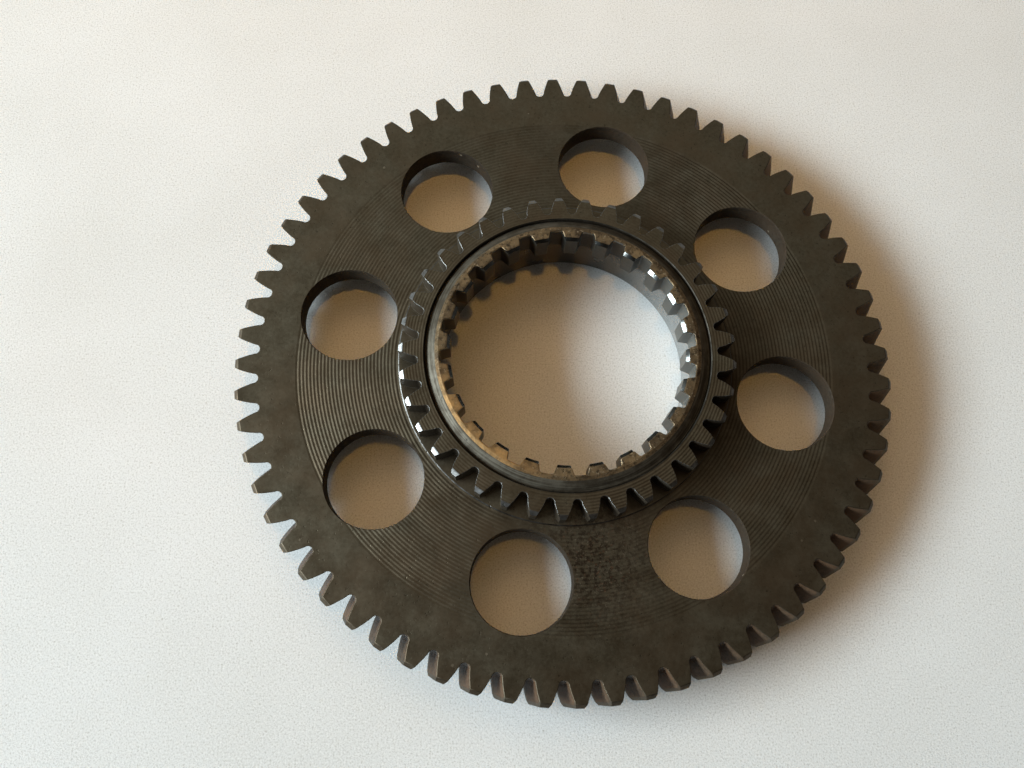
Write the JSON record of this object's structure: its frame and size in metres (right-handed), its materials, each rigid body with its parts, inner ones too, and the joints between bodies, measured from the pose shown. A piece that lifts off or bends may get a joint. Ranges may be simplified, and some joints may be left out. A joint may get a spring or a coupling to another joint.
{
  "type": "cluster gear",
  "caption": "Helical wheel gear with a pierced web, a smaller toothed hub on its upper face and a splined sleeve through the middle.",
  "frame": {"origin": "centre of the sleeve's lower face, which the part stands on", "axes": "+Z along the common axis of the three pieces, from the sleeve's foot towards the hub pinion"},
  "size_m": [0.198, 0.198, 0.0247],
  "materials": {
    "wheel_steel": "turned, oily dark",
    "pinion_steel": "turned, oily dark",
    "sleeve_steel": "ground, light rust"
  },
  "bodies": {
    "root": {"helical_wheel": "wheel_steel", "hub_pinion": "pinion_steel", "splined_sleeve": "sleeve_steel"}
  },
  "joints": []
}
